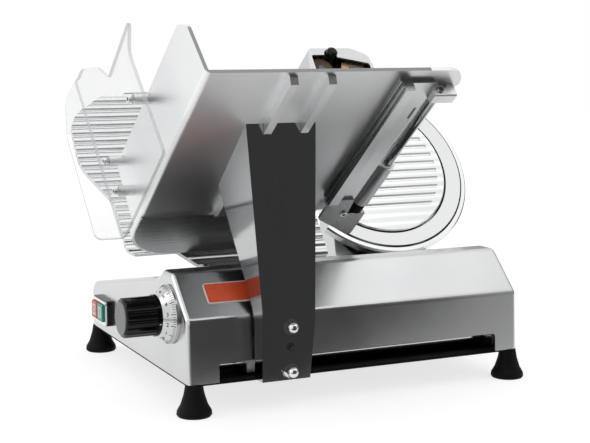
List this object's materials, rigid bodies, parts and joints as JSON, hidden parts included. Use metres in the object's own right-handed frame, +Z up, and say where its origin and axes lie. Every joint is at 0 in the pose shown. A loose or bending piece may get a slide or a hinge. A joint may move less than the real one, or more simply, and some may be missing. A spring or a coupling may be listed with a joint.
{
  "type": "food slicer",
  "caption": "Gravity-feed food slicer with a tilted meat table on a hand-moved carriage, a round blade in a ring guard and an index-knob thickness plate.",
  "frame": {"origin": "centre of the rectangle of the feet, on the table top that they stand on", "axes": "+X toward the carriage arm, at the operator's right; +Y away from the operator, along the carriage travel; +Z up"},
  "size_m": [0.5002, 0.5675, 0.4203],
  "materials": {
    "anodised": "satin",
    "polished": "polished",
    "cast": "bead blasted",
    "steel": "ground",
    "bright": "polished",
    "black": "moulded",
    "cover_plastic": "moulded",
    "rubber": "matt",
    "clear": "clear sheet",
    "grey": "moulded",
    "red": "moulded",
    "green": "moulded",
    "stone": "gritty",
    "bronze": "machined",
    "white": "moulded"
  },
  "bodies": {
    "base": {"base_housing": "anodised", "bottom_cover": "cover_plastic", "rubber_feet": "rubber", "slide_rod": "bright", "rod_supports": "cast", "guide_rail": "steel", "cord_gland": "black", "knife_housing": "cast", "blade_ring_guard": "anodised", "blade_cover": "anodised", "blade_spindle": "steel", "motor_body": "cast", "drive_belt": "rubber", "slice_deflector": "polished", "sharpener_body": "cast", "sharpener_hood": "grey", "gauge_guide_rods": "steel", "gauge_guide_blocks": "cast", "dial_ring": "anodised", "switch_housing": "black"},
    "carriage": {"carriage_arm": "polished", "carriage_foot": "cast", "slide_bushings": "bronze", "roller_axle": "steel", "arm_fasteners": "bright", "meat_table": "anodised", "table_lip": "anodised", "rod_rail": "anodised", "clear_guard": "clear", "guard_standoffs": "anodised", "guard_screws": "bright", "rod_brackets": "cast", "rod_end_knob": "polished", "pusher_rod": "bright", "pusher_buffer": "rubber"},
    "roller": {"carriage_roller": "white"},
    "pusher_slider": {"pusher_bushing": "white"},
    "pusher": {"pusher_arm": "cast", "pusher_plate": "anodised", "pusher_grip": "black"},
    "gauge": {"gauge_plate": "anodised", "gauge_carrier": "cast"},
    "index": {"index_knob": "black", "knob_cap": "grey", "index_spindle": "steel", "index_cam": "steel"},
    "blade_hub": {"blade": "bright", "blade_pulley": "cast", "spindle_bearings": "steel", "blade_screws": "steel"},
    "motor_rotor": {"motor_pulley": "steel"},
    "grinder": {"grinding_stone": "stone", "grinding_plunger": "steel"},
    "truer": {"truing_stone": "bronze", "truing_plunger": "steel"},
    "sharpener_lock": {"lock_knob": "black"},
    "cover_knob": {"tie_rod": "steel", "tie_rod_knob": "black"},
    "off_switch": {"off_button": "red"},
    "on_switch": {"on_button": "green"}
  },
  "joints": [
    {"name": "carriage_slide", "type": "slide", "parent": "base", "child": "carriage", "axis": [0, 1, 0], "range_m": [-0.035, 0.24]},
    {"name": "roller_spin", "type": "hinge", "parent": "carriage", "child": "roller", "pos_m": [0.117, -0.105, 0.056], "axis": [1, 0, 0], "range_deg": [-1560, 240]},
    {"name": "pusher_slide", "type": "slide", "parent": "carriage", "child": "pusher_slider", "axis": [0.788, 0, 0.6157], "range_m": [0, 0.13]},
    {"name": "pusher_swing", "type": "hinge", "parent": "pusher_slider", "child": "pusher", "pos_m": [0.10096, 0.054, 0.23624], "axis": [-0.788, 0, -0.6157], "range_deg": [0, 100]},
    {"name": "index_turn", "type": "hinge", "parent": "base", "child": "index", "pos_m": [0.12, -0.24, 0.103], "axis": [0, -1, 0], "range_deg": [-50, 300]},
    {"name": "gauge_slide", "type": "slide", "parent": "base", "child": "gauge", "axis": [-0.788, 0, -0.6157], "range_m": [-0.0021, 0.0121]},
    {"name": "blade_spin", "type": "hinge", "parent": "base", "child": "blade_hub", "pos_m": [-0.08349, 0.156, 0.2368], "axis": [0.788, 0, 0.6157], "continuous": true},
    {"name": "motor_spin", "type": "hinge", "parent": "base", "child": "motor_rotor", "pos_m": [-0.05689, 0.13, 0.14591], "axis": [0.788, 0, 0.6157], "continuous": true},
    {"name": "grinding_push", "type": "slide", "parent": "base", "child": "grinder", "axis": [0.788, 0, 0.6157], "range_m": [0, 0.004], "stiffness_N_per_m": 600},
    {"name": "truing_push", "type": "slide", "parent": "base", "child": "truer", "axis": [0.788, 0, 0.6157], "range_m": [0, 0.004], "stiffness_N_per_m": 600},
    {"name": "sharpener_lock_turn", "type": "hinge", "parent": "base", "child": "sharpener_lock", "pos_m": [-0.16414, 0.129, 0.38064], "axis": [0.788, 0, 0.6157], "range_deg": [0, 360]},
    {"name": "cover_knob_turn", "type": "hinge", "parent": "base", "child": "cover_knob", "pos_m": [-0.15047, 0.156, 0.18447], "axis": [0.788, 0, 0.6157], "range_deg": [0, 720]},
    {"name": "off_press", "type": "slide", "parent": "base", "child": "off_switch", "axis": [0, 1, 0], "range_m": [0, 0.003], "stiffness_N_per_m": 500},
    {"name": "on_press", "type": "slide", "parent": "base", "child": "on_switch", "axis": [0, 1, 0], "range_m": [0, 0.003], "stiffness_N_per_m": 500}
  ],
  "couplings": [
    {"joint": "roller_spin", "follows": "carriage_slide", "rad_per_m": -111.11},
    {"joint": "gauge_slide", "follows": "index_turn", "m_per_rad": 0.0022918},
    {"joint": "motor_spin", "follows": "blade_spin", "ratio": 2.625}
  ]
}
